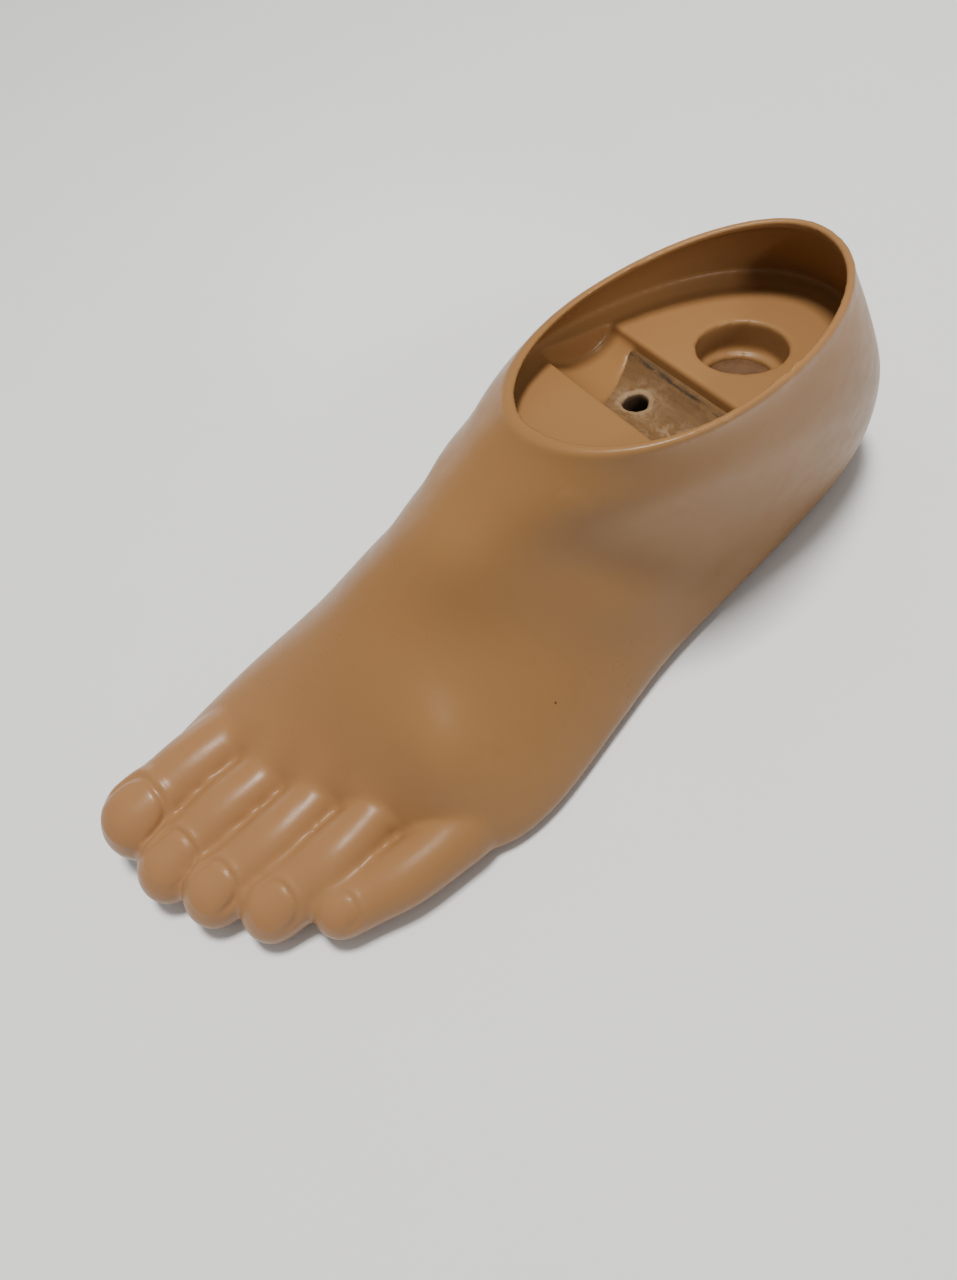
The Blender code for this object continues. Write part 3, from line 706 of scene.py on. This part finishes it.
def make_seat_disc():
    top = -POCKET_DEPTH - SEAT_SINK
    profile = [
        (0, top - 0.25), (SEAT_R * 0.55, top - 0.25), (SEAT_R * 0.62, top), (SEAT_R - 0.7, top),
        (SEAT_R - 0.2, top - 0.15),
        (SEAT_R, top - 0.5), (SEAT_R, top - SEAT_T), (0, top - SEAT_T),
    ]
    disc = turned("bumper_seat", profile, (POCKET_X, POCKET_Y, bay_z(POCKET_Y)), bay_axis())
    disc.data.shade_smooth()
    disc.data.set_sharp_from_angle(angle=math.radians(50))
    return disc


# ---- materials ----

TAN, TAN_WARM = (0.248, 0.130, 0.050, 1), (0.264, 0.141, 0.057, 1)
SEAT_DARK, SEAT_LIGHT = (0.085, 0.038, 0.013, 1), (0.120, 0.056, 0.020, 1)
# The toes' colour: their pinker tint, made lighter still as painted light where the lamp fell brighter on
# them.
TOES_TINT_AND_PAINTED_LIGHT, TAN_DARK, TAN_PALE = (0.335, 0.176, 0.082, 1), (0.23, 0.100, 0.028, 1), (0.40, 0.22, 0.10, 1)


class Nodes:
    """A short way to write a node material."""

    def __init__(self, name):
        self.material = bpy.data.materials.new(name)
        self.material.use_nodes = True
        self.tree = self.material.node_tree
        self.shader = self.tree.nodes["Principled BSDF"]
        self.place = self.add("ShaderNodeTexCoord").outputs["Object"]

    def add(self, kind, **inputs):
        node = self.tree.nodes.new(kind)
        for key, value in inputs.items():
            self.put(node, key, value)
        return node

    def put(self, node, key, value):
        socket = node.inputs[key] if isinstance(key, int) or key in node.inputs else None
        if socket is None:
            setattr(node, key, value)
        elif isinstance(value, bpy.types.NodeSocket):
            self.tree.links.new(value, socket)
        else:
            socket.default_value = value

    def noise(self, scale, detail=3.0, rough=0.5, stretch=None, warp=0.0):
        where = self.place
        if stretch:
            mapped = self.add("ShaderNodeMapping")
            self.tree.links.new(self.place, mapped.inputs["Vector"])
            mapped.inputs["Scale"].default_value = stretch
            where = mapped.outputs["Vector"]
        node = self.add("ShaderNodeTexNoise", Scale=scale, Detail=detail, Roughness=rough, Distortion=warp)
        self.tree.links.new(where, node.inputs["Vector"])
        return node.outputs["Fac"]

    def ramp(self, value, lo, hi, out_lo=0.0, out_hi=1.0, kind="SMOOTHSTEP"):
        node = self.add("ShaderNodeMapRange")
        node.interpolation_type = kind
        self.tree.links.new(value, node.inputs["Value"])
        for key, number in (("From Min", lo), ("From Max", hi), ("To Min", out_lo), ("To Max", out_hi)):
            node.inputs[key].default_value = number
        return node.outputs["Result"]

    def math(self, operation, a, b=0.0):
        node = self.add("ShaderNodeMath")
        node.operation = operation
        self.put(node, 0, a)
        self.put(node, 1, b)
        return node.outputs[0]

    def mix(self, factor, a, b, kind="MIX"):
        node = self.add("ShaderNodeMix")
        node.data_type = "RGBA"
        node.blend_type = kind
        for key, value in ((0, factor), (6, a), (7, b)):
            self.put(node, key, value)
        return node.outputs[2]

    def bump(self, height, strength, distance, under=None):
        node = self.add("ShaderNodeBump", Strength=strength, Distance=distance)
        self.tree.links.new(height, node.inputs["Height"])
        if under is not None:
            self.tree.links.new(under, node.inputs["Normal"])
        return node.outputs["Normal"]

    def split(self):
        node = self.add("ShaderNodeSeparateXYZ")
        self.tree.links.new(self.place, node.inputs[0])
        return node.outputs

    def end(self, colour, rough, normal=None, **fixed):
        self.put(self.shader, "Base Color", colour)
        self.put(self.shader, "Roughness", rough)
        if normal is not None:
            self.put(self.shader, "Normal", normal)
        for key, value in fixed.items():
            self.shader.inputs[key.replace("_", " ")].default_value = value
        return self.material


def skin_material():
    n = Nodes("polyurethane_skin")
    _, y, _ = n.split()
    broad = n.noise(16, 2, 0.45)
    colour = n.mix(n.ramp(broad, 0.3, 0.7), TAN, TAN_WARM)
    # Towards the toes: a pinker tint, and painted light that lightens them.
    colour = n.mix(n.ramp(y, -0.015, -0.105, 0.0, 0.75), colour, TOES_TINT_AND_PAINTED_LIGHT)
    mottle = n.noise(210, 4, 0.6)
    colour = n.mix(n.ramp(mottle, 0.56, 0.80, 0.0, 0.16), colour, TAN_DARK)
    pale = n.noise(95, 3, 0.6, warp=0.4)
    colour = n.mix(n.ramp(pale, 0.62, 0.84, 0.0, 0.14), colour, TAN_PALE)
    speck = n.add("ShaderNodeTexVoronoi", Scale=62.0)
    n.tree.links.new(n.place, speck.inputs["Vector"])
    near = n.ramp(speck.outputs["Distance"], 0.022, 0.034, 1.0, 0.0)
    rare = n.add("ShaderNodeSeparateColor")
    n.tree.links.new(speck.outputs["Color"], rare.inputs[0])
    chosen = n.math("GREATER_THAN", rare.outputs[0], 0.93)
    colour = n.mix(n.math("MULTIPLY", near, chosen), colour, (0.05, 0.028, 0.016, 1))
    fine = n.noise(2100, 2, 0.6)
    grain = n.noise(900, 3, 0.55)
    wave = n.noise(150, 2, 0.5)
    normal = n.bump(wave, 0.10, 0.0006)
    normal = n.bump(grain, 0.16, 0.00012, normal)
    normal = n.bump(fine, 0.12, 0.00005, normal)
    rough = n.math("ADD", n.ramp(mottle, 0.3, 0.7, 0.28, 0.36), n.ramp(broad, 0.3, 0.7, -0.02, 0.04))
    return n.end(colour, rough, normal, Specular_IOR_Level=0.20)


def worn_wood_material():
    n = Nodes("worn_keel_wood")
    x, y, _ = n.split()
    grain = n.noise(34, 5, 0.6, stretch=(0.35, 2.6, 1.0))
    fibre = n.noise(420, 3, 0.6, stretch=(0.2, 1.0, 1.0))
    colour = n.mix(n.ramp(grain, 0.35, 0.65), (0.090, 0.044, 0.015, 1), (0.150, 0.082, 0.033, 1))
    colour = n.mix(n.ramp(fibre, 0.45, 0.75, 0.0, 0.30), colour, (0.21, 0.130, 0.064, 1))
    scuff = n.noise(230, 6, 0.72, warp=1.2)
    place_x = n.ramp(x, -0.004, 0.012)
    front = n.ramp(y, 0.062, 0.050)
    patch = n.math("MULTIPLY", n.math("MULTIPLY", place_x, front), n.ramp(scuff, 0.44, 0.62))
    colour = n.mix(n.math("MULTIPLY", patch, 0.6), colour, (0.33, 0.24, 0.155, 1))
    hole_x = n.math("SUBTRACT", x, (BOLT_X - MID_X) * MM)
    hole_y = n.math("SUBTRACT", y, (BOLT_Y - MID_Y) * MM)
    square_x, square_y = n.math("MULTIPLY", hole_x, hole_x), n.math("MULTIPLY", hole_y, hole_y)
    away = n.math("SQRT", n.math("ADD", square_x, square_y))
    ragged_by = n.math("MULTIPLY", n.math("SUBTRACT", n.noise(520, 4, 0.7), 0.5), 0.0032)
    rough_edge = n.math("ADD", away, ragged_by)
    rim_in, rim_out = n.ramp(rough_edge, 0.0032, 0.0037), n.ramp(rough_edge, 0.0044, 0.0052, 1.0, 0.0)
    ring = n.math("MULTIPLY", rim_in, rim_out)
    colour = n.mix(n.math("MULTIPLY", ring, 0.45), colour, (0.33, 0.23, 0.14, 1))
    dust = n.math("MULTIPLY", n.ramp(rough_edge, 0.0045, 0.0105, 1.0, 0.0), n.ramp(scuff, 0.40, 0.60))
    colour = n.mix(n.math("MULTIPLY", dust, 0.35), colour, (0.30, 0.22, 0.14, 1))
    sway = n.noise(260, 4, 0.7, stretch=(0.4, 1.0, 1.0))
    wander = n.math("MULTIPLY", n.math("SUBTRACT", sway, 0.5), 0.0012)
    dirt_line = n.math("ABSOLUTE", n.math("SUBTRACT", n.math("ADD", y, wander), 0.0634))
    broken = n.ramp(n.noise(420, 4, 0.7, stretch=(0.30, 1.4, 1.0)), 0.40, 0.54)
    dirt = n.math("MULTIPLY", n.ramp(dirt_line, 0.0001, 0.0006, 1.0, 0.0), broken)
    colour = n.mix(n.math("MULTIPLY", dirt, 0.85), colour, (0.022, 0.017, 0.012, 1))
    smudge = n.math("MULTIPLY", n.ramp(y, 0.0585, 0.0640), n.ramp(n.noise(180, 4, 0.7), 0.38, 0.66))
    colour = n.mix(n.math("MULTIPLY", smudge, 0.45), colour, (0.045, 0.032, 0.020, 1))
    specks = n.ramp(n.noise(1100, 3, 0.6), 0.66, 0.74)
    colour = n.mix(n.math("MULTIPLY", specks, 0.6), colour, (0.035, 0.025, 0.016, 1))
    # Painted shade: the bolt hole's inside is painted near black.
    inside = n.ramp(away, 0.0033, 0.0036, 1.0, 0.0)
    colour = n.mix(n.math("MULTIPLY", inside, 0.8), colour, (0.035, 0.024, 0.015, 1))
    normal = n.bump(scuff, 0.5, 0.0003)
    normal = n.bump(fibre, 0.3, 0.00012, normal)
    return n.end(colour, n.ramp(scuff, 0.3, 0.7, 0.55, 0.85), normal, Specular_IOR_Level=0.25)


def simple_material(name, dark, light, scale, roughness, metallic=0.0):
    n = Nodes(name)
    grain = n.noise(scale, 4, 0.6)
    colour = n.mix(n.ramp(grain, 0.35, 0.65), dark, light)
    rough = n.ramp(grain, 0.3, 0.7, roughness - 0.08, roughness + 0.08)
    return n.end(colour, rough, n.bump(grain, 0.35, 0.0001), Metallic=metallic)


def webbing_material():
    n = Nodes("belting_weave")
    waves = []
    for axis in ("X", "Y"):
        wave = n.add("ShaderNodeTexWave", Scale=210.0, Distortion=0.6)
        wave.bands_direction = axis
        n.tree.links.new(n.place, wave.inputs["Vector"])
        waves.append(wave.outputs["Fac"])
    weave = n.math("MULTIPLY", waves[0], waves[1])
    colour = n.mix(weave, (0.24, 0.20, 0.13, 1), (0.50, 0.43, 0.31, 1))
    return n.end(colour, n.ramp(weave, 0.0, 1.0, 0.95, 0.75), n.bump(weave, 0.6, 0.0003))


def dress_frame():
    zinc_dark, zinc_light = (0.30, 0.30, 0.29, 1), (0.52, 0.52, 0.50, 1)
    steel = simple_material("dull_zinc", zinc_dark, zinc_light, 420, 0.38, 1.0)
    rubber = simple_material("plug_rubber", (0.12, 0.062, 0.032, 1), (0.19, 0.105, 0.058, 1), 500, 0.62)
    web = webbing_material()
    for name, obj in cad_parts.items():
        if name.startswith("belt_tack") or name in ("bolt_bush", "washer_plate"):
            chosen = steel
        elif name.startswith("toe_belt"):
            chosen = web
        elif name == "sole_plug":
            chosen = rubber
        else:
            continue
        painted(obj, chosen)


# ---- stage ----


def make_stage():
    mesh = bpy.data.meshes.new("studio_floor")
    bm = bmesh.new()
    bmesh.ops.create_grid(bm, x_segments=8, y_segments=8, size=2.5)
    bm.to_mesh(mesh)
    bm.free()
    floor = bpy.data.objects.new("studio_floor", mesh)
    bpy.context.scene.collection.objects.link(floor)
    n = Nodes("floor_paper")
    tone = n.noise(30, 2, 0.5)
    colour = n.mix(tone, (0.84, 0.90, 0.98, 1), (0.86, 0.92, 1.0, 1))
    floor.data.materials.append(n.end(colour, n.ramp(tone, 0, 1, 0.9, 0.95)))


def aimed(light, at, towards):
    """Hangs a lamp at a point, facing another."""
    obj = bpy.data.objects.new(light.name, light)
    obj.location = at
    obj.rotation_mode = "QUATERNION"
    obj.rotation_quaternion = (Vector(towards) - Vector(at)).to_track_quat("-Z", "Y")
    bpy.context.scene.collection.objects.link(obj)
    return obj


def area_light(name, at, towards, power, size, colour):
    light = bpy.data.lights.new(name, "AREA")
    light.energy, light.color, light.size = power, colour, size
    aimed(light, at, towards).visible_camera = False


def inner_light(at, towards):
    """A weak narrow lamp for the collar's shaded inner wall."""
    light = bpy.data.lights.new("inner_wall", "SPOT")
    light.energy, light.color = 4.0, (1.0, 0.93, 0.86)
    light.spot_size, light.spot_blend, light.shadow_soft_size = math.radians(17), 1.0, 0.04
    aimed(light, at, towards)


def make_lights():
    world = bpy.data.worlds.new("studio")
    bpy.context.scene.world = world
    world.use_nodes = True
    background = world.node_tree.nodes["Background"]
    background.inputs["Color"].default_value = (1.0, 0.93, 0.86, 1)
    background.inputs["Strength"].default_value = 0.38
    area_light("ceiling", (0.02, 0.14, 1.40), (0, -0.02, 0.03), 24.5, 0.28, (1.0, 0.93, 0.82))
    inner_light((0.30, 0.09, 0.26), (-0.024, 0.075, 0.080))
    area_light("window", (-1.3, -0.15, 0.25), (0, 0.0, 0.04), 1.3, 0.45, (1.0, 0.95, 0.88))


def make_camera():
    az, el, roll = (math.radians(v) for v in (CAM_AZ, CAM_EL, CAM_ROLL))
    back = Vector((math.sin(az) * math.cos(el), -math.cos(az) * math.cos(el), math.sin(el)))
    right0 = Vector((math.cos(az), math.sin(az), 0))
    up0 = back.cross(right0)
    right = right0 * math.cos(roll) + up0 * math.sin(roll)
    up = up0 * math.cos(roll) - right0 * math.sin(roll)
    camera = bpy.data.cameras.new("camera")
    camera.lens, camera.sensor_width, camera.sensor_fit = CAM_LENS, 36.0, "AUTO"
    camera.shift_x, camera.shift_y = CAM_SHIFT
    camera.clip_start, camera.clip_end = 0.01, 20
    obj = bpy.data.objects.new("camera", camera)
    turn = Matrix((right, up, back)).transposed().to_4x4()
    obj.matrix_world = Matrix.Translation(place(*CAM_AT) + back * CAM_DIST * MM) @ turn
    bpy.context.scene.collection.objects.link(obj)
    bpy.context.scene.camera = obj


def painted(obj, material):
    obj.data.materials.clear()
    obj.data.materials.append(material)
    obj.data.polygons.foreach_set("material_index", np.zeros(len(obj.data.polygons), np.int32))
    obj.data.update()


def main():
    make_camera()
    make_lights()
    make_stage()
    dress_frame()
    foot = make_moulding()
    painted(foot, skin_material())
    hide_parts("hindfoot_cover", "toe_break_foam", "forefoot_cover")
    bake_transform(foot)
    keel = make_keel()
    painted(keel, worn_wood_material())
    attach(keel, "rearfoot")
    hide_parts("wood_keel")
    disc = make_seat_disc()
    painted(disc, simple_material("seat_fibre", SEAT_DARK, SEAT_LIGHT, 260, 0.7))
    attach(disc, "rearfoot")
    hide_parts("bumper_seat_disc")


main()
